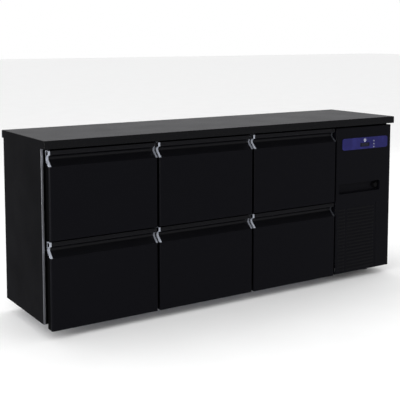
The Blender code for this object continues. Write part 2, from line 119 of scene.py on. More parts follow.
def mix(material, factor, first, second):
    """A colour between two colours or colour outputs."""
    node = material.node_tree.nodes.new("ShaderNodeMix")
    node.data_type = "RGBA"
    link = material.node_tree.links.new
    link(factor, node.inputs["Factor"])
    for name, colour in (("A", first), ("B", second)):
        target = [s for s in node.inputs if s.name == name and s.type == "RGBA"][0]
        if isinstance(colour, tuple):
            target.default_value = (*colour, 1.0)
        else:
            link(colour, target)
    return [s for s in node.outputs if s.type == "RGBA"][0]


def worn_edges(material, patches, amount):
    """Up to amount along the edges, where a rounded normal leaves the true one, in uneven patches."""
    link = material.node_tree.links.new
    rounded = add_node(material, "ShaderNodeBevel", Radius=0.0015, samples=4)
    true = add_node(material, "ShaderNodeNewGeometry")
    turn = add_node(material, "ShaderNodeVectorMath", operation="DOT_PRODUCT")
    link(rounded.outputs["Normal"], turn.inputs[0])
    link(true.outputs["Normal"], turn.inputs[1])
    edge = spread(material, turn.outputs["Value"], amount, 0.0, 0.88, 0.99)
    uneven = add_node(material, "ShaderNodeMath", operation="MULTIPLY")
    link(edge, uneven.inputs[0])
    link(spread(material, patches, 0.4, 1.0), uneven.inputs[1])
    return uneven.outputs["Value"]


def finish(name, slot, colour, roughness, metallic=0.0, specular=0.5, vary=0.12, grain=900.0,
           stretch=(1, 1, 1), bump=0.05, smudge=0.06, wear=0.0):
    """A finish with fine grain in colour and relief, broad smudges in its gloss, and wear on its edges.
    Gives the material and the slot that it stands for."""
    material = bpy.data.materials.new(name)
    material.use_nodes = True
    link = material.node_tree.links.new
    socket_of(material, "Metallic").default_value = metallic
    socket_of(material, "Specular IOR Level").default_value = specular
    fine = noise_of(material, grain, stretch)
    broad = noise_of(material, 7.0, offset=(3.1, 1.7, 0.4), detail=4.0)
    dark = tuple(c * (1 - vary) for c in colour)
    light = tuple(min(c * (1 + vary), 1.0) for c in colour)
    shade = mix(material, spread(material, fine, 0.0, 1.0), dark, light)
    if wear:
        bare = tuple(min(c * 4 + 0.02, 1.0) for c in colour)
        shade = mix(material, worn_edges(material, broad, wear), shade, bare)
    link(shade, socket_of(material, "Base Color"))
    rough = spread(material, broad, max(roughness - smudge, 0.02), roughness + smudge, 0.2, 0.8)
    link(rough, socket_of(material, "Roughness"))
    if bump:
        relief = add_node(material, "ShaderNodeBump", Strength=bump, Distance=0.0004)
        link(fine, relief.inputs["Height"])
        link(relief.outputs["Normal"], socket_of(material, "Normal"))
    return material, slot


BRUSH_X = (0.02, 1, 1)
BRUSH_Z = (1, 1, 0.02)
FINISHES = {
    "paint": finish("black_paint", "black_steel", (0.0024, 0.0024, 0.0038), 0.36, specular=0.12, bump=0.03,
        wear=0.25),
    "side_paint": finish("black_side_paint", "black_steel", (0.0011, 0.0011, 0.0012), 0.42, specular=0.045,
        bump=0.08, wear=0.25),
    "top": finish("black_top", "black_worktop", (0.0032, 0.0032, 0.0036), 0.25, specular=0.22, grain=420,
        bump=0.03, smudge=0.02, wear=0.25),
    "profile": finish("black_profile", "black_profile", (0.0024, 0.0024, 0.0034), 0.34, specular=0.34,
        grain=500, stretch=BRUSH_X, bump=0.08),
    "core": finish("black_core", "black_plastic", (0.0016, 0.0016, 0.0018), 0.75, specular=0.04,
        grain=1100, bump=0.1),
    "cap": finish("grey_cap", "grey_plastic", (0.33, 0.35, 0.4), 0.38, vary=0.05, grain=1500),
    # the right caps are the same grey plastic as the left ones, darkened as painted shade; the third column's
    # right caps are darker still, painted deep shade
    "right_cap_painted_shade": finish("right_cap_painted_shade", "grey_plastic", (0.17, 0.18, 0.21), 0.42, vary=0.05, grain=1500),
    "last_cap_painted_deep_shade": finish("last_cap_painted_deep_shade", "grey_plastic", (0.035, 0.037, 0.045), 0.42, vary=0.05, grain=1500),
    "trim": finish("silver_trim", "silver_trim", (0.36, 0.37, 0.39), 0.34, metallic=0.85, vary=0.15,
        stretch=BRUSH_Z, bump=0.1),
    "rubber": finish("gasket_rubber", "gasket_rubber", (0.02, 0.02, 0.021), 0.62, vary=0.2, grain=1200,
        bump=0.15),
    "steel": finish("brushed_steel", "steel_sheet", (0.44, 0.44, 0.45), 0.38, metallic=0.55, vary=0.1,
        grain=700, stretch=BRUSH_X, bump=0.1, smudge=0.08),
    "liner": finish("coated_liner", "steel_sheet", (0.42, 0.43, 0.44), 0.36, metallic=0.25, vary=0.06,
        grain=260, bump=0.12),
    "zinc": finish("zinc_sheet", "steel_sheet", (0.3, 0.31, 0.32), 0.4, metallic=0.9, vary=0.08, grain=140,
        bump=0.04),
    "screw": finish("zinc_screw", "steel_sheet", (0.34, 0.34, 0.35), 0.35, metallic=1.0, vary=0.1,
        wear=0.3),
    "plastic": finish("black_plastic", "black_plastic", (0.008, 0.008, 0.008), 0.5, specular=0.3, vary=0.2,
        grain=1400, bump=0.2),
    "enamel": finish("compressor_enamel", "compressor_paint", (0.01, 0.01, 0.011), 0.28, vary=0.2,
        grain=300, bump=0.1, wear=0.3),
    "fins": finish("fin_aluminium", "fin_aluminium", (0.52, 0.53, 0.54), 0.38, metallic=1.0, grain=400),
    "copper": finish("copper_pipe", "fin_aluminium", (0.55, 0.24, 0.12), 0.3, metallic=1.0, vary=0.25,
        grain=90, smudge=0.12),
    # the hoods' paint is a little lighter than the panel's black paint, a painted highlight for light caught
    # along the hoods, and glossier
    "louvre": finish("black_louvre_painted_highlight", "black_steel", (0.0031, 0.0031, 0.004), 0.34, specular=0.2, bump=0.08,
        wear=0.35),
    "knob": finish("black_knob", "black_plastic", (0.0036, 0.0036, 0.0042), 0.45, specular=0.12, vary=0.2,
        grain=1400, bump=0.15),
    "button": finish("milky_button", "white_plastic", (0.2, 0.2, 0.28), 0.4, specular=0.3, vary=0.04,
        grain=1500, bump=0.03),
    "print": finish("white_print", "white_plastic", (0.6, 0.61, 0.72), 0.45, vary=0.05, grain=1500,
        bump=0.0),
    "glass": finish("display_glass", "black_plastic", (0.006, 0.006, 0.016), 0.2, specular=0.3, vary=0.05,
        grain=600, bump=0.0, smudge=0.03),
    "display": finish("unlit_digits", "black_plastic", (0.022, 0.022, 0.034), 0.3, vary=0.05, grain=1500,
        bump=0.0),
}


def control_film():
    """The printed film on the control plate: blue, with soft lighter patches."""
    material, slot = finish("blue_film", "blue_panel", (0.0135, 0.013, 0.094), 0.36, specular=0.2,
                            vary=0.06, grain=1600, bump=0.04)
    patches = noise_of(material, 22.0, detail=1.0)
    colour = socket_of(material, "Base Color")
    base = colour.links[0].from_socket
    lighter = mix(material, spread(material, patches, 0.0, 0.5, 0.45, 0.7), base, (0.026, 0.025, 0.15))
    material.node_tree.links.new(lighter, colour)
    return material, slot


FINISHES["film"] = control_film()


# ---- mesh helpers
def runs_along(axis, length=1e-5):
    """Picks edges that reach further than length along an axis."""
    return lambda e: abs(e.verts[0].co[axis] - e.verts[1].co[axis]) > length


def lies_at(axis, value, side):
    """Picks edges on the plane at value, or past it on the side, -1 or 1, along an axis."""
    return lambda e: all(side * (v.co[axis] - value) > -1e-6 for v in e.verts)


def middle_of(node):
    low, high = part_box(node)
    return [(a + b) / 2 for a, b in zip(low, high)]


def box_into(bm, low, high, radius=0.0, segments=2, edges=None):
    """Adds a box between two corners, with its edges, or those that edges picks, rounded."""
    verts = bmesh.ops.create_cube(bm, size=1.0)["verts"]
    low, high = Vector(low), Vector(high)
    bmesh.ops.scale(bm, vec=high - low, verts=verts)
    bmesh.ops.translate(bm, vec=(low + high) / 2, verts=verts)
    if radius:
        own = {e for v in verts for e in v.link_edges}
        picked = [e for e in own if edges is None or edges(e)]
        offset = radius if edges else min(radius, 0.45 * min(high - low))
        bmesh.ops.bevel(bm, geom=picked, offset=offset, segments=segments, profile=0.5, affect="EDGES")


def box_bm(low, high, radius=0.0, segments=2, edges=None):
    bm = bmesh.new()
    box_into(bm, low, high, radius, segments, edges)
    return bm


def loft_into(bm, rings, cap=True):
    """Joins rings of points, each as long as the next, into a closed skin."""
    rings = [[bm.verts.new(p) for p in ring] for ring in rings]
    for first, second in zip(rings, rings[1:]):
        for i in range(len(first)):
            j = (i + 1) % len(first)
            bm.faces.new((first[i], first[j], second[j], second[i]))
    if cap:
        bm.faces.new(rings[0])
        bm.faces.new(rings[-1])
    return rings


def prism_into(bm, outline, stations, to_point):
    """An outline of (a, b) points repeated at each station along its axis."""
    loft_into(bm, [[to_point(a, b, along) for a, b in outline] for along in stations])


def lathe_into(bm, profile, matrix=Matrix.Identity(4), steps=24):
    """A (radius, height) profile from axis to axis, turned about the matrix's Z."""
    rings = []
    for radius, height in profile:
        if radius > 0:
            rings.append([matrix @ Vector((radius * cos(a), radius * sin(a), height))
                          for a in (tau * i / steps for i in range(steps))])
    made = loft_into(bm, rings, cap=False)
    for end, ring in ((profile[0], made[0]), (profile[-1], made[-1])):
        if end[0] > 0:
            bm.faces.new(ring)
        else:
            tip = bm.verts.new(matrix @ Vector((0, 0, end[1])))
            for i, vert in enumerate(ring):
                bm.faces.new((vert, ring[(i + 1) % len(ring)], tip))


def bent(points, radius, steps=5):
    """A path of straight runs with its corners rounded."""
    points = [Vector(p) for p in points]
    path = [points[0]]
    for before, corner, after in zip(points, points[1:], points[2:]):
        back, on = (before - corner).normalized(), (after - corner).normalized()
        reach = min(radius, (before - corner).length / 2, (after - corner).length / 2)
        start, end = corner + back * reach, corner + on * reach
        for i in range(steps + 1):
            t = i / steps
            path.append(start.lerp(corner, t).lerp(corner.lerp(end, t), t))
    return path + [points[-1]]


def tube_into(bm, path, radius, sides=10):
    """A round tube along a path, with its section carried along without twist."""
    normal = Vector((0.31, 0.52, 0.8))
    rings = []
    for i, point in enumerate(path):
        ahead = path[min(i + 1, len(path) - 1)] - path[max(i - 1, 0)]
        tangent = ahead.normalized()
        normal = (normal - tangent * normal.dot(tangent)).normalized()
        side = tangent.cross(normal)
        rings.append([point + (normal * cos(a) + side * sin(a)) * radius
                      for a in (tau * k / sides for k in range(sides))])
    loft_into(bm, rings)


def rounded_rect(half_a, half_b, radius, steps=4):
    """Points and outward directions round a rectangle with rounded corners, about its middle."""
    found = []
    corners = ((1, 1, 0), (-1, 1, 90), (-1, -1, 180), (1, -1, 270))
    for sign_a, sign_b, start in corners:
        for i in range(steps + 1):
            angle = radians(start + 90 * i / steps)
            out = (cos(angle), sin(angle))
            a = sign_a * (half_a - radius) + radius * out[0]
            b = sign_b * (half_b - radius) + radius * out[1]
            found.append(((a, b), out))
    return found


def frame_into(bm, section, half_a, half_b, radius, to_point, steps=4):
    """A closed section of (outward, along) points swept round a rounded rectangle."""
    rings = []
    for (a, b), (out_a, out_b) in rounded_rect(half_a, half_b, radius, steps):
        rings.append([to_point(a + out_a * out, b + out_b * out, along) for out, along in section])
    made = loft_into(bm, rings, cap=False)
    first, last = made[0], made[-1]
    for i in range(len(first)):
        j = (i + 1) % len(first)
        bm.faces.new((last[i], last[j], first[j], first[i]))


def shape_of(adder, *args):
    """A new shape with what one of the functions above adds."""
    bm = bmesh.new()
    adder(bm, *args)
    return bm


def c_section(side, low, high, flange, web):
    """A channel's outline: its web, from low to high, is at side[0], its flanges reach to side[1]."""
    near, far = side
    return [(near, low), (far, low), (far, low + flange), (near + web, low + flange),
            (near + web, high - flange), (far, high - flange), (far, high), (near, high)]


def mesh_of(bm):
    bmesh.ops.recalc_face_normals(bm, faces=bm.faces)
    mesh = bpy.data.meshes.new("piece")
    bm.to_mesh(mesh)
    bm.free()
    return mesh


def tidy_faces(bm, gap=1e-6):
    """Removes slivers: points closer than gap, and faces without an area."""
    bmesh.ops.remove_doubles(bm, verts=bm.verts, dist=gap)
    bmesh.ops.dissolve_degenerate(bm, edges=bm.edges, dist=gap)


def carved(bm, cutter, radius=0.0, segments=2, join=None):
    """What is left of a closed shape after a cutter, with its new sharp edges rounded."""
    base = bpy.data.objects.new("base", mesh_of(bm))
    bpy.context.scene.collection.objects.link(base)
    helpers = []
    for operation, shape in (("UNION", join), ("DIFFERENCE", cutter)):
        if shape is None:
            continue
        helper = bpy.data.objects.new("helper", mesh_of(shape))
        bpy.context.scene.collection.objects.link(helper)
        helpers.append(helper)
        boolean = base.modifiers.new("carve", "BOOLEAN")
        boolean.operation = operation
        boolean.solver = "EXACT"
        boolean.use_self = True
        boolean.object = helper
    left = bmesh.new()
    left.from_mesh(base.evaluated_get(bpy.context.evaluated_depsgraph_get()).to_mesh())
    for obj in (base, *helpers):
        bpy.data.objects.remove(obj, do_unlink=True)
    tidy_faces(left, 2e-5)
    if radius:
        sharp = [e for e in left.edges if len(e.link_faces) == 2 and e.calc_face_angle(0) > SHARP]
        bmesh.ops.bevel(left, geom=sharp, offset=radius, segments=segments, profile=0.5, affect="EDGES",
                        clamp_overlap=True)
        tidy_faces(left)
    mesh = bpy.data.meshes.new("carved")
    left.to_mesh(mesh)
    left.free()
    return mesh


def piece(name, shape, look, body="cabinet", stands_for=(), sharp=38.0):
    """A finished piece of the object, riding on its body, which may stand for CAD nodes."""
    mesh = mesh_of(shape) if isinstance(shape, bmesh.types.BMesh) else shape
    mesh.name = name
    mesh.shade_smooth()
    mesh.set_sharp_from_angle(angle=radians(sharp))
    material, slot = FINISHES[look]
    mesh.materials.clear()
    mesh.materials.append(material)
    obj = bpy.data.objects.new(name, mesh)
    bpy.context.scene.collection.objects.link(obj)
    obj.modifiers.new("even_shading", "WEIGHTED_NORMAL").keep_sharp = True
    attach(obj, body)
    if stands_for:
        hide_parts(*stands_for)
    return obj


def facing(x, y, z, tilt, turn):
    place = Matrix.Translation((x, y, z))
    return place @ Matrix.Rotation(tilt, 4, "X") @ Matrix.Rotation(turn, 4, "Z")


def along_y(x, y, z, turn=0.0):
    """Places a shape turned about Z so that its own +Z runs towards +Y from (x, y, z)."""
    return facing(x, y, z, -pi / 2, turn)


def out_of_back(x, y, z, turn=0.0):
    """Places a shape turned about Z so that its own +Z runs towards -Y, into the cabinet's back."""
    return facing(x, y, z, pi / 2, turn)


SCREW = [(0, 0), (0.0016, 0.0), (0.003, 0.0004), (0.0038, 0.0011), (0.004, 0.0019), (0, 0.0019)]


def screw_into(bm, matrix, size=1.0):
    """A pan head with its crown at the matrix's origin and its shank towards +Z."""
    lathe_into(bm, [(r * size, h * size) for r, h in SCREW], matrix, 14)
    for turn in (0.0, pi / 2):
        bar = matrix @ Matrix.Rotation(turn, 4, "Z")
        ring = [bar @ Vector((x * size, y * size, -0.00005)) for x, y in
                ((-0.0018, -0.0003), (0.0018, -0.0003), (0.0018, 0.0003), (-0.0018, 0.0003))]
        deep = [p + (matrix.to_3x3() @ Vector((0, 0, 0.0008))) for p in ring]
        loft_into(bm, [ring, deep])


# ---- camera, light and floor
def make_camera():
    data = bpy.data.cameras.new("camera")
    data.lens = 76.2
    data.sensor_width = 36.0
    data.shift_x = 0.01
    data.shift_y = -0.2
    data.clip_end = 100.0
    camera = bpy.data.objects.new("camera", data)
    camera.location = (-2.329, -3.486, 1.283)
    camera.rotation_euler = (radians(90 - 5.73), 0, radians(-32.58))
    bpy.context.scene.collection.objects.link(camera)
    bpy.context.scene.camera = camera


def area_light(name, place, target, size, watts):
    data = bpy.data.lights.new(name, "AREA")
    data.shape = "RECTANGLE"
    data.size, data.size_y = size
    data.energy = watts
    light = bpy.data.objects.new(name, data)
    light.location = place
    direction = Vector(target) - Vector(place)
    light.rotation_euler = direction.to_track_quat("-Z", "Y").to_euler()
    bpy.context.scene.collection.objects.link(light)


def make_world():
    """White light all round, but in reflections a soft horizon under a dark ceiling."""
    world = bpy.data.worlds.new("studio")
    world.use_nodes = True
    nodes, link = world.node_tree.nodes, world.node_tree.links.new
    where = nodes.new("ShaderNodeTexCoord")
    axes = nodes.new("ShaderNodeSeparateXYZ")
    link(where.outputs["Generated"], axes.inputs["Vector"])
    height = nodes.new("ShaderNodeValToRGB")
    height.color_ramp.elements[0].position = 0.46
    height.color_ramp.elements[0].color = (0.29, 0.29, 0.32, 1.0)
    height.color_ramp.elements[1].position = 0.8
    height.color_ramp.elements[1].color = (0.03, 0.03, 0.035, 1.0)
    horizon = height.color_ramp.elements.new(0.55)
    horizon.color = (0.41, 0.41, 0.42, 1.0)
    half = nodes.new("ShaderNodeMapRange")
    half.inputs["From Min"].default_value = -1.0
    link(axes.outputs["Z"], half.inputs["Value"])
    link(half.outputs["Result"], height.inputs["Fac"])
    path = nodes.new("ShaderNodeLightPath")
    choose = nodes.new("ShaderNodeMix")
    choose.data_type = "RGBA"
    colour_in = {s.name: s for s in choose.inputs if s.type == "RGBA"}
    colour_in["A"].default_value = (1.0, 1.0, 1.0, 1.0)
    link(height.outputs["Color"], colour_in["B"])
    link(path.outputs["Is Glossy Ray"], choose.inputs["Factor"])
    link([s for s in choose.outputs if s.type == "RGBA"][0], nodes["Background"].inputs["Color"])
    bpy.context.scene.world = world


def make_stage():
    """The floor, which reflections don't show, four soft lights, and the view transform."""
    bm = bmesh.new()
    for x, y in ((-40, -40), (40, -40), (40, 40), (-40, 40)):
        bm.verts.new((x, y, -0.0005))
    bm.faces.new(bm.verts)
    material, _ = finish("pale_floor", "floor", (0.96, 0.96, 0.96), 0.7, specular=0.2, vary=0.01,
                         grain=3.0, bump=0.0)
    mesh = mesh_of(bm)
    mesh.materials.append(material)
    floor = bpy.data.objects.new("floor", mesh)
    bpy.context.scene.collection.objects.link(floor)
    floor.visible_glossy = False
    area_light("front_softbox", (-3.6, -3.4, 3.4), (-0.2, 0.0, 0.5), (2.4, 1.6), 26)
    area_light("left_softbox", (-5.0, -1.2, 1.2), (0.0, -0.2, 0.5), (0.8, 2.4), 100)
    area_light("top_softbox", (0.2, 1.6, 4.2), (0.0, 0.0, 0.8), (3.2, 1.6), 25)
    area_light("right_softbox", (5.0, 0.6, 2.6), (0.6, 0.0, 0.5), (1.6, 2.2), 30)
    bpy.context.scene.view_settings.view_transform = "Standard"


# ---- cabinet
def make_worktop():
    """The slab, and an edge band on each of its ends."""
    band = Vector((0.0008, 0, 0))
    slab = box_bm(TOP_LOW + band, TOP_HIGH - band, 0.0026, 4)
    piece("worktop_slab", slab, "top", stands_for=("worktop",))
    low, high = TOP_LOW + Vector((0, 0.0012, 0.0012)), TOP_HIGH - Vector((0, 0.0012, 0.0012))
    bands = box_bm(low, (low.x + 0.003, high.y, high.z), 0.0006, 2)
    box_into(bands, (high.x - 0.003, low.y, low.z), high, 0.0006, 2)
    piece("worktop_edge_bands", bands, "side_paint")


def make_shell():
    """The foamed shell, open at the front, and the liner inside it."""
    low, high = SHELL_LOW, SHELL_HIGH
    left_wall, other_walls, floor, ceiling = 0.042, 0.04, 0.09, 0.785
    corner = 0.012
    hole_low = Vector((low.x + left_wall, low.y - THROUGH, floor))
    hole_high = Vector((high.x - other_walls, high.y - other_walls, ceiling))
    liner_low = hole_low + Vector((0, 0.055, 0))
    deep = runs_along(Y, 0.1)

    def behind(y):
        return lambda e: min(v.co.y for v in e.verts) > y or deep(e)

    outer = box_bm(low, high, 0.003, 3, runs_along(Z, 0.1))
    hole = box_bm(hole_low, hole_high, corner, 4, lambda e: min(v.co.y for v in e.verts) > low.y)
    piece("foamed_shell", carved(outer, hole, 0.0006), "side_paint", stands_for=("insulated_cabinet",))
    lining = box_bm(liner_low, hole_high, corner, 4, behind(liner_low.y + 0.01))
    hollow = box_bm(liner_low + Vector((WALL, -0.02, WALL)), hole_high - Vector((WALL, WALL, WALL)),
                    corner - 0.001, 4, behind(liner_low.y))
    piece("inner_liner", carved(lining, hollow), "liner")


def make_back_and_base():
    """The back sheet with its screws and stiffening beads, and the base pan."""
    low, high = SHELL_LOW, SHELL_HIGH
    y = high.y
    back = box_bm((low.x + 0.012, y - 0.0002, low.z + 0.01), (high.x - 0.004, y + WALL, high.z - 0.012),
                  0.0005, 1)
    half_length, half_height = 0.15, 0.008
    for x in (-0.6, -0.18, 0.24):
        for z in (0.2, 0.44, 0.68):
            box_into(back, (x - half_length, y - 0.006, z - half_height),
                     (x + half_length, y + 0.004, z + half_height), 0.0044, 5)
    piece("back_sheet", back, "zinc")
    screws = bmesh.new()
    head, across = y + 0.003, 9
    for i in range(across):
        x = low.x + 0.035 + i * (high.x - low.x - 0.06) / (across - 1)
        for z in (low.z + 0.026, high.z - 0.03):
            screw_into(screws, out_of_back(x, head, z, 0.4 * i))
    for z in (0.26, 0.44, 0.62):
        for x in (low.x + 0.035, high.x - 0.025):
            screw_into(screws, out_of_back(x, head, z, z))
    piece("back_screws", screws, "screw")
    base = box_bm((low.x + 0.004, low.y + 0.004, low.z - 0.0015),
                  (high.x - 0.002, high.y - 0.004, low.z + 0.0002), 0.0006, 1)
    half_width, from_end = 0.012, 0.03
    for x in (-0.7, -0.35, 0.0, 0.35):
        box_into(base, (x - half_width, low.y + from_end, low.z - 0.004),
                 (x + half_width, high.y - from_end, low.z + 0.001), 0.002, 3)
    piece("base_pan", base, "zinc")


def make_front_frame():
    """The frame with its mullions and middle rail, and the silver strip on the cabinet's left edge."""
    low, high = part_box("front_frame")
    border, half_mullion = 0.008, 0.02
    holes = bmesh.new()
    edges = [low.x + border]
    for column in COLUMNS[:-1]:
        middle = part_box(f"lower_{column}_front")[1].x + FRONT_GAP / 2
        edges += [middle - half_mullion, middle + half_mullion]
    edges.append(high.x - border)
    for x0, x1 in zip(edges[::2], edges[1::2]):
        for z0, z1 in ((low.z + border, MIDDLE_RAIL[0]), (MIDDLE_RAIL[1], high.z - border)):
            box_into(holes, (x0, low.y - THROUGH, z0), (x1, high.y + THROUGH, z1), 0.006, 3,
                     runs_along(Y, 0.02))
    frame_shape = carved(box_bm(low, high), holes, 0.001)
    piece("front_mullions", frame_shape, "side_paint", stands_for=("front_frame",))
    strip = box_bm(*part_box("left_edge_trim"), 0.0012, 3)
    piece("silver_edge", strip, "trim", stands_for=("left_edge_trim",))


def make_feet():
    """Levelling feet: plate, threaded stem, hexagon and pad."""
    for end in ("left", "middle", "right"):
        for row in ("front", "rear"):
            node = f"{row}_{end}_foot"
            low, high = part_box(node)
            x, y, _ = middle_of(node)
            place = Matrix.Translation((x, y, low.z))
            top = high.z - low.z
            foot = bmesh.new()
            lathe_into(foot, [(0, 0), (0.0215, 0), (0.0232, 0.0012), (0.0236, 0.004), (0.022, 0.0075),
                              (0.015, 0.0105), (0.0085, 0.0118), (0.0085, 0.0135), (0, 0.0135)], place, 32)
            lathe_into(foot, [(0, 0.013), (0.0105, 0.013), (0.011, 0.0136), (0.011, 0.0214),
                              (0.0105, 0.022), (0, 0.022)], place, 6)
            valley, crest, pitch = 0.006, 0.007, 0.002
            thread = [(0, 0.0215)]
            for i in range(15):
                thread += [(valley, 0.0215 + i * pitch), (crest, 0.0225 + i * pitch)]
            thread += [(valley, top - 0.006), (0, top - 0.006)]
            lathe_into(foot, thread, place, 20)
            lathe_into(foot, [(0, top - 0.009), (0.012, top - 0.009), (0.014, top - 0.006),
                              (0.027, top - 0.004), (0.0278, top - 0.003), (0.0278, top - 0.0002),
                              (0, top - 0.0002)], place, 28)
            piece(f"{node}_leveller", foot, "plastic", stands_for=(node,))


# ---- drawers
def scoop(offset, start, last_drop, steps):
    """The scoop's (back, drop) points, set back by offset: an arc from start, then the slope."""
    radius = SCOOP_RADIUS + offset
    curve = arc(SCOOP_CENTRE, radius, start, SCOOP_TO, steps)
    back, drop = curve[-1]
    foot = back - (last_drop - drop) * tan(radians(SCOOP_TO))
    return curve + [(foot, last_drop)]


def arc(centre, radius, start, end, steps=4):
    angles = [radians(start + (end - start) * i / steps) for i in range(steps + 1)]
    return [(centre[0] + radius * cos(a), centre[1] + radius * sin(a)) for a in angles]


def grip_outline():
    """The grip's section: a lip with rounded edges and two fine grooves, above the scoop."""
    r = 0.0024
    outline = arc((LIP_BACK + r, r), r, 270, 180)
    for drop in (0.0062, 0.0118):
        outline += [(LIP_BACK, drop - 0.0006), (LIP_BACK + 0.0006, drop), (LIP_BACK, drop + 0.0006)]
    outline += arc((LIP_BACK + 0.0016, LIP_DROP - 0.0016), 0.0016, 180, 100, 3)
    outline += scoop(0.0, -82, HANDLE_DROP - 0.0012, 22)
    outline += [(0.0008, HANDLE_DROP - 0.0006), (0.0004, HANDLE_DROP)]
    return outline + [(HANDLE_BACK, HANDLE_DROP), (HANDLE_BACK, 0.0)]


def cap_outline():
    """A hook: the lip's full depth at the top, then a band that follows the scoop to a point."""
    front = arc((LIP_BACK + 0.001, 0.002), 0.0015, 270, 180, 3) + [(LIP_BACK - 0.0005, LIP_DROP)]
    front += scoop(-0.0005, -85, HANDLE_DROP - 0.0005, 18)
    rear = scoop(CAP_BAND, -20, HANDLE_DROP, 10)
    return front + [(0.0003, HANDLE_DROP)] + rear[::-1] + [(HANDLE_BACK - 0.0005, 0.0005)]


def cap_field(inset):
    """The sunk field in a cap's end face, this far inside the hook's outline."""
    front = [(LIP_BACK + inset, inset + 0.001), (LIP_BACK + inset, LIP_DROP - inset)]
    front += scoop(inset, -80, HANDLE_DROP - 0.006 - inset, 14)
    rear = scoop(CAP_BAND - inset, -20, HANDLE_DROP - 0.006 - inset, 8)
    return front + rear[::-1] + [(HANDLE_BACK - 0.0005 - inset, inset + 0.001)]


# a magnetic gasket's section, of (outward, back) points: base, bellows and magnet sleeve
BELLOWS = [(-0.0075, 0.0), (-0.0005, 0.0), (-0.0008, 0.0012), (-0.0019, 0.0018), (-0.0008, 0.0026),
           (-0.0002, 0.0034), (-0.0002, 0.0051), (-0.001, 0.0054), (-0.0068, 0.0054), (-0.0076, 0.005),
           (-0.0076, 0.0034), (-0.0068, 0.0026), (-0.0056, 0.0018), (-0.007, 0.0012)]


def make_drawer(row, column):
    """One drawer: front skin and core, grip with its two end caps, gasket and box."""
    name = f"{row}_{column}"
    body = f"{name}_drawer"
    low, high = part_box(f"{name}_front")
    middle, y0, z0 = (low.x + high.x) / 2, low.y, low.z
    half, height = (high.x - low.x) / 2, high.z - low.z

    def at(x, back, up):
        return Vector((middle + x, y0 + back, z0 + up))

    def section(back, drop, along):
        return at(along, back, height - drop)

    panel_top = height - HANDLE_DROP - CLEAR
    across, upright, in_front = runs_along(X, 1e-6), runs_along(Z, 1e-6), lies_at(Y, y0, -1)
    skin = box_bm(at(-half, 0, 0), at(half, SKIN_RETURN, panel_top), 0.008, 6,
                  lambda e: in_front(e) and not across(e))
    rim = [e for e in skin.edges if not upright(e) and len(e.link_faces) == 2 and e.calc_face_angle(0) > 1.0
           and max(v.co.y for v in e.verts) < y0 + SKIN_RETURN - 1e-6]
    bmesh.ops.bevel(skin, geom=rim, offset=0.0014, segments=3, profile=0.5, affect="EDGES",
                    clamp_overlap=True)
    tidy_faces(skin)
    piece(f"{name}_front_skin", skin, "paint", body, stands_for=(f"{name}_front",))
    inset = 0.0008
    core = box_bm(at(inset - half, SKIN_RETURN - 0.002, inset),
                  at(half - inset, PANEL_THICK, panel_top - 0.0006), 0.001, 2)
    box_into(core, at(inset - half, HANDLE_BACK + 0.0005, panel_top - 0.002),
             at(half - inset, PANEL_THICK, height), 0.0008, 2)
    piece(f"{name}_core", core, "core", body)

    inner = half - CAP_WIDTH - CLEAR
    grip = bmesh.new()
    prism_into(grip, grip_outline(), (-inner, inner), section)
    lip_cover = arc((LIP_BACK + 0.0006, 0.0024), 0.0024, 270, 180) + [(LIP_BACK - 0.0018, LIP_DROP)]
    lip_cover += [(LIP_BACK - 0.0008, LIP_DROP), (LIP_BACK - 0.0008, 0.0008)]
    prism_into(grip, lip_cover, (inner, half), section)
    piece(f"{name}_grip", grip, "profile", body, stands_for=(f"{name}_handle",), sharp=24)
    for side, start, end in (("left", -half, -half + CAP_WIDTH), ("right", half - CAP_WIDTH, half)):
        cap = shape_of(prism_into, cap_outline(), (start, end), section)
        outer = start if side == "left" else end
        pocket = shape_of(prism_into, cap_field(0.0018), (outer - 0.003, outer + 0.003), section)
        # right caps take the darkened grey, painted shade; the third column's right caps the darkest, painted
        # deep shade
        look = "cap" if side == "left" else "last_cap_painted_deep_shade" if column == "right" else "right_cap_painted_shade"
        hook = carved(cap, pocket)
        piece(f"{name}_hook_{side}", hook, look, body, stands_for=(f"{name}_cap_{side}",), sharp=30)
        sunk = outer + copysign(0.001, -outer)
        ends = sorted((sunk, sunk + copysign(0.0018, -outer)))
        piece(f"{name}_plug_{side}", shape_of(prism_into, cap_field(0.0021), ends, section), "core", body)

    half_width, half_height, centre, corner = 0.25, 0.17, 0.2, 0.01
    seal = shape_of(frame_into, BELLOWS, half_width, half_height, corner,
                    lambda a, b, along: at(a, PANEL_THICK + CLEAR + along, centre + b))
    piece(f"{name}_seal", seal, "rubber", body, stands_for=(f"{name}_gasket",), sharp=45)
    make_box(name, body, at)


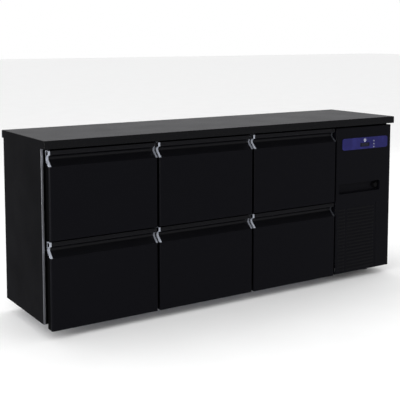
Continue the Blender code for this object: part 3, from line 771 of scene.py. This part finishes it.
def make_box(name, body, at):
    """The sheet box with a rolled rim and ribbed floor, its flange, runners, rollers and screws."""
    face, back = PANEL_THICK + CLEAR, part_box(f"{name}_box")[1].y - at(0, 0, 0).y
    half, floor, rim = 0.205, 0.062, 0.222
    flange_top = 0.335
    middle_y, depth = (face + back) / 2, (back - face) / 2

    def ring(inset, up, corner):
        return [at(a, middle_y + b, up) for (a, b), _ in rounded_rect(half - inset, depth - inset, corner, 5)]

    t = WALL
    tray = bmesh.new()
    loft_into(tray, [ring(t + 0.009, floor + t, 0.008), ring(t + 0.003, floor + t + 0.0012, 0.012),
                     ring(t, floor + t + 0.006, 0.014), ring(t, rim - 0.004, 0.014),
                     ring(t + 0.0028, rim - 0.0034, 0.011), ring(t + 0.0034, rim - 0.0014, 0.011),
                     ring(t + 0.002, rim, 0.012), ring(0.0006, rim, 0.014), ring(0, rim - 0.0012, 0.015),
                     ring(0, floor + 0.006, 0.015), ring(0.003, floor + 0.0012, 0.013),
                     ring(0.009, floor, 0.009)])
    ribs, pitch, half_rib, from_end = 9, 0.04, 0.003, 0.035
    for i in range(ribs):
        x = -0.16 + i * pitch
        box_into(tray, at(x - half_rib, face + from_end, floor + 0.0002),
                 at(x + half_rib, back - from_end, floor + t + 0.0018), 0.0012, 3)
    box_into(tray, at(-half, face, rim - 0.012), at(half, face + WALL, flange_top), 0.0005, 1)
    box_into(tray, at(-half, face + 0.0005, 0.3325), at(half, face + 0.01, flange_top), 0.001, 2)
    piece(f"{name}_tray", tray, "steel", body, stands_for=(f"{name}_box",))
    runner = bmesh.new()
    wheels = bmesh.new()
    for side in (-1, 1):
        def rail(a, b, along):
            return at(side * (half + a), along, b)

        channel = c_section((0.0002, 0.0098), RUNNER_UP - 0.015, RUNNER_UP + 0.015, 0.0025, 0.0014)
        prism_into(runner, channel, (face + 0.016, back), rail)
        turn = Matrix.Rotation(side * pi / 2, 4, "Y")
        for along in (back - 0.012, back - 0.06):
            hub = Matrix.Translation(at(side * (half + 0.0018), along, RUNNER_UP)) @ turn
            lathe_into(wheels, [(0, 0), (0.0112, 0), (0.0118, 0.0008), (0.0118, 0.0058), (0.0112, 0.0066),
                                (0.004, 0.0066), (0.0036, 0.0076), (0, 0.0076)], hub, 24)
        for along in (face + 0.04, (face + back) / 2, back - 0.1):
            head = Matrix.Translation(at(side * (half + 0.004), along, RUNNER_UP))
            screw_into(runner, head @ Matrix.Rotation(-side * pi / 2, 4, "Y"), 0.9)
    piece(f"{name}_runners", runner, "zinc", body)
    piece(f"{name}_rollers", wheels, "plastic", body)


def make_rails():
    """Fixed C-channels on upright channel posts, one rack for each column."""
    for column in COLUMNS:
        node = f"{column}_rail_frame"
        low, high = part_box(node)
        rack = bmesh.new()
        for side in (-1, 1):
            outer = high.x if side > 0 else low.x
            for y in (low.y + 0.0005, high.y - 0.02):
                prism_into(rack, c_section((0.0, 0.0085), 0.0, 0.02, 0.0015, 0.0015), (low.z, high.z),
                           lambda a, b, along: Vector((outer - side * a, y + b, along)))
            for row in ROWS:
                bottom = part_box(f"{row}_{column}_front")[0].z
                channel = c_section((0.0, 0.014), RUNNER_UP - 0.018, RUNNER_UP + 0.018, 0.0015, 0.0018)
                prism_into(rack, channel, (low.y, high.y - 0.01),
                           lambda a, b, along: Vector((outer - side * a, along, bottom + b)))
        box_into(rack, (low.x, high.y - 0.0045, low.z + 0.006), (high.x, high.y - 0.0005, 0.125), 0.001, 2)
        piece(f"{column}_runner_rack", rack, "steel", stands_for=(node,))


def fins_into(bm, count, x0, x1, low, high):
    """Thin upright fins, evenly spread from x0 to x1, within low and high in (y, z)."""
    for i in range(count):
        x = x0 + i * (x1 - x0) / (count - 1)
        box_into(bm, (x - 0.0004, *low), (x + 0.0004, *high))


def coil_of(x0, x1, y, levels, radius):
    """A tube that runs to and fro between x0 and x1, one level above the other."""
    path = []
    for i, z in enumerate(levels):
        ends = (x0, x1) if i % 2 == 0 else (x1, x0)
        path += [(ends[0], y, z), (ends[1], y, z)]
    return shape_of(tube_into, bent(path, 0.016), radius)


def make_evaporator():
    """Fins between two end plates, and their coil."""
    low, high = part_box("evaporator")
    fins = bmesh.new()
    fins_into(fins, 84, low.x + 0.016, high.x - 0.016, (low.y + 0.004, low.z + 0.006),
              (high.y - 0.002, high.z - 0.006))
    plate = 0.0016
    for x in (low.x, high.x - plate):
        box_into(fins, (x, low.y, low.z), (x + plate, high.y, high.z), 0.0005, 1)
    piece("evaporator_fins", fins, "fins", stands_for=("evaporator",))
    levels = [low.z + 0.025 + i * 0.034 for i in range(6)]
    coil = coil_of(low.x - 0.01, high.x + 0.01, (low.y + high.y) / 2, levels, 0.005)
    piece("evaporator_coil", coil, "copper")


# ---- machine bay
def make_machine_front():
    """The panel with its slots and recess, the hoods over the slots, a bead, and a knob in the recess."""
    low, high = PANEL_LOW, PANEL_HIGH
    x0, face = low.x, low.y
    tray = box_bm(low, high, 0.005, 4, lies_at(Y, face, -1))
    (rx0, rx1), (rz0, rz1) = RECESS
    recess_deep = 0.024
    cup = box_bm((x0 + rx0 - WALL, face + 0.0008, rz0 - WALL),
                 (x0 + rx1 + WALL, face + recess_deep + 0.0005, rz1 + WALL))
    cutter = box_bm((x0 + WALL, face + WALL, low.z + WALL), (high.x - WALL, high.y + THROUGH, high.z - WALL))
    slots = [(left, right, SLAT_Z + i * SLAT_PITCH) for i in range(SLATS) for left, right in SLAT_SPANS]
    openings = [(left, right, z - SLOT / 2, z + SLOT / 2) for left, right, z in slots]
    openings += [(0.1195, 0.2405, 0.6945, 0.7445), (0.25, 0.268, 0.69, 0.735)]  # controller, buttons
    for left, right, bottom, top in openings:
        box_into(cutter, (x0 + left, face - THROUGH, bottom), (x0 + right, face + WALL / 2, top))
    sheet = bmesh.new()
    sheet.from_mesh(carved(tray, cutter))
    pocket = box_bm((x0 + rx0, face - THROUGH, rz0), (x0 + rx1, face + recess_deep, rz1), 0.01, 4,
                    runs_along(Y, 0.01))
    whole = carved(sheet, pocket, 0.0004, 1, join=cup)
    piece("louvred_panel", whole, "paint", stands_for=("machine_front_panel",), sharp=30)
    hoods = bmesh.new()
    for left, right, z in slots:
        hood_into(hoods, x0 + left, x0 + right, face, z + SLOT / 2)
    # the hoods take the lighter paint: a painted highlight along the louvres
    piece("louvre_hoods", hoods, "louvre", sharp=30)
    bead = box_bm((x0 + 0.284, face - 0.0014, 0.052), (x0 + 0.3, face + 0.0004, 0.4), 0.0008, 2)
    piece("panel_bead", bead, "paint")
    knob_face = face + 0.01
    knob = shape_of(prism_into, arc((x0 + rx1 - 0.02, (rz0 + rz1) / 2), 0.014, 0, 330, 22),
                    (knob_face, face + recess_deep - 0.0002), lambda a, b, along: Vector((a, along, b)))
    bmesh.ops.bevel(knob, geom=[e for e in knob.edges if all(v.co.y < knob_face + 1e-4 for v in e.verts)],
                    offset=0.0015, segments=2, affect="EDGES")
    piece("recess_lock", knob, "knob")


def hood_into(bm, left, right, face, top):
    """A pressed louvre: it leaves the sheet at the top of its slot and bulges out over it."""
    rings = []
    for x, bulge in ((left, 0.06), (left + 0.0015, 0.7), (left + 0.004, 1.0), (right - 0.004, 1.0),
                     (right - 0.0015, 0.7), (right, 0.06)):
        outer, inner = [], []
        for i in range(6):
            t = i / 5
            out = 0.0031 * bulge * sin(t * pi / 2)
            z = top + 0.0006 - t * 0.0078
            outer.append((x, face + 0.0001 - out, z))
            inner.append((x, face + 0.0009 - out, z - 0.0002))
        rings.append(outer + inner[::-1])
    loft_into(bm, rings)


SEGMENTS = ((0, 1), (1, 0.5), (1, -0.5), (0, -1), (-1, -0.5), (-1, 0.5), (0, 0))  # middles, in half digits


def make_controls():
    """The film-covered plate with its display, printed snowflake and three buttons."""
    low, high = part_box("control_panel")
    x0, face = PANEL_LOW.x, low.y
    plate = box_bm(low, (high.x, PANEL_LOW.y - CLEAR, high.z), 0.014, 8, runs_along(Y))
    window = box_bm((x0 + 0.162, face - THROUGH, 0.701), (x0 + 0.228, face + 0.0009, 0.722), 0.0015, 2,
                    runs_along(Y))
    for node in BUTTONS:
        x, _, z = middle_of(node)
        lathe_into(window, [(0, -THROUGH), (0.0047, -THROUGH), (0.0047, THROUGH), (0, THROUGH)],
                   along_y(x, face, z), 20)
    piece("control_plate", carved(plate, window, 0.0003, 2), "film", stands_for=("control_panel",))
    housing = box_bm((x0 + 0.12, PANEL_LOW.y - 0.0002, 0.695), (x0 + 0.24, high.y, 0.744), 0.002, 2)
    piece("controller_housing", housing, "plastic")
    glass = box_bm((x0 + 0.1625, face + 0.0003, 0.7015), (x0 + 0.2275, face + 0.0014, 0.7215), 0.0003, 1)
    piece("display_window", glass, "glass")
    digits = bmesh.new()
    for i in range(3):
        middle = Vector((x0 + 0.18 + i * 0.0145, face + 0.0002, 0.7115))
        for a, b in SEGMENTS:
            half_x, half_z = (0.003, 0.0006) if a == 0 else (0.0006, 0.0026)
            centre = middle + Vector((a * 0.0042, 0, b * 0.0062))
            box_into(digits, centre - Vector((half_x, 0, half_z)), centre + Vector((half_x, 0.00015, half_z)))
    piece("display_digits", digits, "display")
    icon = bmesh.new()
    centre = Vector((x0 + 0.195, face - 0.0001, 0.7345))
    half, thick = 0.0008, Vector((0, 0.0002, 0))
    for i in range(6):
        arm = Matrix.Translation(centre) @ Matrix.Rotation(radians(60 * i + 30), 4, "Y")
        for start, length, turn in ((0.0002, 0.0103, 0), (0.0048, 0.0042, 50), (0.0048, 0.0042, -50)):
            bar = arm @ Matrix.Translation((0, 0, start)) @ Matrix.Rotation(radians(turn), 4, "Y")
            outline = ((-half, 0), (half, 0), (half, length), (-half, length))
            ring = [bar @ Vector((x, 0, z)) for x, z in outline]
            loft_into(icon, [ring, [p + thick for p in ring]])
    piece("snowflake_mark", icon, "print")
    for node in BUTTONS:
        low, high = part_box(node)
        x, _, z = middle_of(node)
        reach = high.y - low.y
        profile = [(0, 0.0001), (0.0022, 0.0), (0.0036, 0.0002), (0.0041, 0.0008), (0.0042, 0.0014),
                   (0.0042, reach - 0.0016), (0.0057, reach - 0.0015), (0.0057, reach), (0, reach)]
        button = shape_of(lathe_into, profile, along_y(x, low.y, z), 28)
        piece(f"{node}_dome", button, "button", node, stands_for=(node,))


def make_bay_casing():
    """The casing with slots and a mains inlet in its back, and a flange along its right front edge."""
    low, high = BAY_LOW, BAY_HIGH
    back, t = SHELL_HIGH.y, BAY_WALL
    upright = runs_along(Z, 0.1)
    walls = box_bm(low, (high.x, back, high.z), 0.003, 3,
                   lambda e: upright(e) and e.verts[0].co.x > high.x - 1e-4)
    inside = box_bm((low.x - THROUGH, low.y - THROUGH, low.z + t), (high.x - t, back - t, high.z + THROUGH))
    slots, lowest, pitch, slot_high, from_side = 10, 0.22, 0.03, 0.01, 0.06
    for i in range(slots):
        z = lowest + i * pitch
        box_into(inside, (low.x + from_side, back - THROUGH, z),
                 (high.x - from_side, back + THROUGH, z + slot_high), 0.0045, 3, runs_along(Y, 0.01))
    inlet = Vector((0.9, back, 0.13))

    def around(half_x, front, rear, half_z):
        """Corners of a box around the inlet, from front to rear of the bay's back."""
        return inlet + Vector((-half_x, front, -half_z)), inlet + Vector((half_x, rear, half_z))

    box_into(inside, *around(0.016, -THROUGH, THROUGH, 0.012))
    piece("bay_casing", carved(walls, inside, 0.0004, 1), "side_paint", stands_for=("machine_bay_casing",))
    flange = box_bm((high.x - 0.045, low.y, low.z + 0.002), (high.x - 0.0016, low.y + t, high.z - 0.001),
                    0.0004, 2)
    piece("bay_front_flange", flange, "side_paint")
    socket = box_bm(*around(0.029, -0.028, 0.003, 0.018), 0.002, 3)
    well = box_bm(*around(0.013, -0.02, 0.02, 0.009), 0.003, 3, runs_along(Y, 0.01))
    piece("mains_inlet", carved(socket, well, 0.0004, 1), "plastic")
    pins = bmesh.new()
    for x, z in ((-0.007, -0.002), (0.0, 0.002), (0.007, -0.002)):
        box_into(pins, inlet + Vector((x - 0.001, -0.0202, z - 0.002)),
                 inlet + Vector((x + 0.001, -0.006, z + 0.002)), 0.0005, 2)
    piece("mains_inlet_pins", pins, "screw")
    screws = bmesh.new()
    for z in (low.z + 0.025, 0.44, high.z - 0.03):
        for x in (low.x + 0.02, high.x - 0.02):
            screw_into(screws, out_of_back(x, back + 0.0018, z, 3 * z))
    for x in (-0.022, 0.022):
        screw_into(screws, out_of_back(inlet.x + x, inlet.y + 0.0042, inlet.z), 0.7)
    piece("bay_screws", screws, "screw")


def make_condenser():
    """Fins and coil on two legs, with the fan's shroud and guard."""
    low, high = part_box("condenser")
    x, z = (low.x + high.x) / 2, high.z - CONDENSER_HALF
    core = bmesh.new()
    fin_half = CONDENSER_HALF - 0.002
    fins_into(core, 70, low.x + 0.006, high.x - 0.006, (low.y + 0.002, z - fin_half),
              (low.y + 0.058, z + fin_half))
    piece("condenser_fins", core, "fins", stands_for=("condenser",))
    levels = [z - 0.112 + i * 0.032 for i in range(8)]
    coil = coil_of(low.x - 0.006, high.x + 0.006, low.y + 0.03, levels, 0.0045)
    piece("condenser_coil", coil, "copper")
    shroud = box_bm((low.x, low.y + 0.0598, z - CONDENSER_HALF), (high.x, high.y, z + CONDENSER_HALF), 0.004,
                    3, lies_at(Y, high.y, 1))
    hole = shape_of(lathe_into, [(0, -0.05), (0.112, -0.05), (0.112, 0.1), (0, 0.1)],
                    along_y(x, low.y + 0.07, z), 64)
    piece("fan_shroud", carved(shroud, hole, 0.0012), "plastic")
    legs = bmesh.new()
    top = z - 0.125 - low.z
    for side in (-1, 1):
        a, b = sorted((x + side * 0.105, x + side * 0.125))
        foot = [(0.015, 0.0), (0.05, 0.0), (0.05, 0.002), (0.018, 0.002), (0.017, 0.003), (0.017, top),
                (0.015, top)]
        prism_into(legs, foot, (a, b), lambda back, up, along: Vector((along, low.y + back, low.z + up)))
    piece("condenser_legs", legs, "zinc")
    guard = bmesh.new()
    for k in range(6):
        r = 0.036 + k * 0.015
        ring = [Vector((x + r * cos(a), high.y + 0.004, z + r * sin(a)))
                for a in (tau * i / 48 for i in range(49))]
        tube_into(guard, ring, 0.001, 6)
    for i in range(4):
        a = radians(45 + 90 * i)
        spoke = [Vector((x + r * cos(a), high.y + 0.0055, z + r * sin(a))) for r in (0.034, 0.122)]
        tube_into(guard, spoke, 0.0014, 6)
    piece("fan_guard", guard, "screw")


def make_fan_and_motor():
    """The impeller with its five blades, on the shaft of a can motor that stands on a bracket."""
    low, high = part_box("condenser")
    x, z = (low.x + high.x) / 2, high.z - CONDENSER_HALF
    impeller_y, motor_y = -0.1165, -0.075
    fan = bmesh.new()
    place = along_y(x, impeller_y, z)
    lathe_into(fan, [(0, -0.008), (0.018, -0.008), (0.0235, -0.0068), (0.027, -0.003), (0.0275, 0.009),
                     (0.0262, 0.01), (0.0045, 0.01), (0.004, 0.012), (0.004, 0.047), (0, 0.047)], place, 40)
    for i in range(5):
        turned = place @ Matrix.Rotation(tau * i / 5, 4, "Z")
        rings = []
        for k in range(9):
            t = k / 8
            radius = 0.0262 + t * 0.076
            chord = 0.03 + 0.034 * t - 0.01 * t * t
            pitch = radians(34 - 16 * t)
            sweep = 0.012 * t * t
            ring = []
            for thick in (1, -1):
                for j in range(7):
                    s = (j / 6 - 0.5) * thick
                    camber = 0.0028 * (1 - 4 * s * s)
                    along = s * chord * cos(pitch) + sweep
                    rise = s * chord * sin(pitch) * 0.45 + camber + thick * 0.0007 * (1.1 - 2 * abs(s))
                    angle = along / radius
                    ring.append(turned @ Vector((radius * cos(angle), radius * sin(angle), rise)))
            rings.append(ring)
        loft_into(fan, rings)
    piece("fan_impeller", fan, "plastic", "condenser_fan", stands_for=("condenser_fan",))
    motor = bmesh.new()
    lathe_into(motor, [(0, 0.0), (0.0055, 0.0), (0.0055, 0.001), (0.022, 0.001), (0.0275, 0.004),
                       (0.03, 0.008), (0.03, 0.016), (0.0285, 0.017), (0.0285, 0.024), (0.03, 0.025),
                       (0.03, 0.034), (0.027, 0.038), (0.02, 0.04), (0, 0.04)],
               along_y(x, motor_y, z), 40)
    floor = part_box("fan_motor")[0].z
    box_into(motor, (x - 0.015, -0.052, floor + 0.001), (x + 0.015, -0.0495, z - 0.02), 0.0006, 1)
    box_into(motor, (x - 0.03, motor_y, floor), (x + 0.03, -0.035, floor + 0.0022), 0.0006, 1)
    piece("fan_motor_can", motor, "enamel", stands_for=("fan_motor",))


def make_compressor():
    """The welded can on its base plate, four rubber mounts, and the relay box on its side."""
    low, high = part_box("compressor")
    x, y, _ = middle_of("compressor")
    floor, radius, shoulder = low.z, 0.085, 0.118
    can = bmesh.new()
    dome = [(0, 0.006), (0.062, 0.006), (0.076, 0.012), (0.083, 0.024), (radius, 0.038), (radius, 0.06),
            (0.0875, 0.0615), (0.0875, 0.0655), (radius, 0.067), (radius, shoulder)]
    dome += [(radius - radius * (1 - cos(a)) * 0.92, shoulder + 0.068 * sin(a))
             for a in (radians(10 * i) for i in range(1, 9))]
    lathe_into(can, dome + [(0, 0.187)], Matrix.Translation((x, y, floor)), 48)
    box_into(can, (low.x, y - 0.06, floor + 0.006), (high.x, y + 0.06, floor + 0.0085), 0.001, 2)
    piece("compressor_can", can, "enamel", stands_for=("compressor",))
    mounts = bmesh.new()
    for side in (-1, 1):
        for end in (-1, 1):
            lathe_into(mounts, [(0, 0), (0.009, 0), (0.0095, 0.001), (0.0095, 0.004), (0.007, 0.005),
                                (0.007, 0.0095), (0.009, 0.01), (0.0085, 0.014), (0, 0.014)],
                       Matrix.Translation((x + side * 0.082, y + end * 0.048, floor)), 20)
    piece("compressor_mounts", mounts, "rubber")
    relay = box_bm((x - 0.03, low.y - 0.022, floor + 0.07), (x + 0.03, low.y + 0.012, floor + 0.125),
                   0.004, 3)
    piece("start_relay_box", relay, "plastic")


def make_pipes():
    """Suction, discharge and liquid pipes with a filter, and the two branches of the wiring."""
    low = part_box("compressor")[0]
    x, y, _ = middle_of("compressor")
    floor = low.z
    wall = BAY_LOW.x + 0.001
    suction_x, discharge_x, liquid_x = x - 0.115, x + 0.12, x - 0.125
    suction_z, discharge_z, liquid_z = 0.38, 0.3, 0.345
    coil_y = -0.16
    pipes = bmesh.new()
    tube_into(pipes, bent([(x - 0.07, y, floor + 0.12), (suction_x, y, floor + 0.12),
                           (suction_x, y, suction_z), (suction_x, y + 0.06, suction_z),
                           (wall, y + 0.06, suction_z)], 0.025), 0.005)
    tube_into(pipes, bent([(x + 0.07, y, floor + 0.09), (discharge_x, y, floor + 0.09),
                           (discharge_x, y, discharge_z), (discharge_x, coil_y, discharge_z),
                           (discharge_x, coil_y, 0.329)], 0.025), 0.0035)
    tube_into(pipes, bent([(liquid_x, coil_y, 0.325), (liquid_x, -0.1, liquid_z),
                           (liquid_x, 0.06, liquid_z), (wall, 0.06, 0.4)], 0.025), 0.003)
    lathe_into(pipes, [(0, -0.05), (0.004, -0.048), (0.011, -0.036), (0.011, 0.036), (0.004, 0.048),
                       (0, 0.05)], along_y(liquid_x, -0.02, liquid_z), 20)
    piece("refrigerant_pipes", pipes, "copper")
    loom = bmesh.new()
    relay_y, controller_x = low.y - 0.012, PANEL_LOW.x + 0.18
    tube_into(loom, bent([(x, relay_y, floor + 0.122), (x + 0.02, relay_y, 0.4), (x + 0.1, 0.05, 0.46),
                          (x + 0.06, -0.18, 0.62), (controller_x, -0.205, 0.7),
                          (controller_x, -0.222, 0.715)], 0.05, 7), 0.004, 8)
    tube_into(loom, bent([(0.9, SHELL_HIGH.y - 0.026, 0.13), (0.9, 0.19, 0.13), (0.915, 0.15, 0.2),
                          (x + 0.1, 0.05, 0.44)], 0.04, 7), 0.0035, 8)
    piece("wiring_loom", loom, "rubber")


make_camera()
make_world()
make_stage()
make_worktop()
make_shell()
make_back_and_base()
make_front_frame()
make_feet()
for row_name in ROWS:
    for column_name in COLUMNS:
        make_drawer(row_name, column_name)
make_rails()
make_evaporator()
make_machine_front()
make_controls()
make_bay_casing()
make_condenser()
make_fan_and_motor()
make_compressor()
make_pipes()
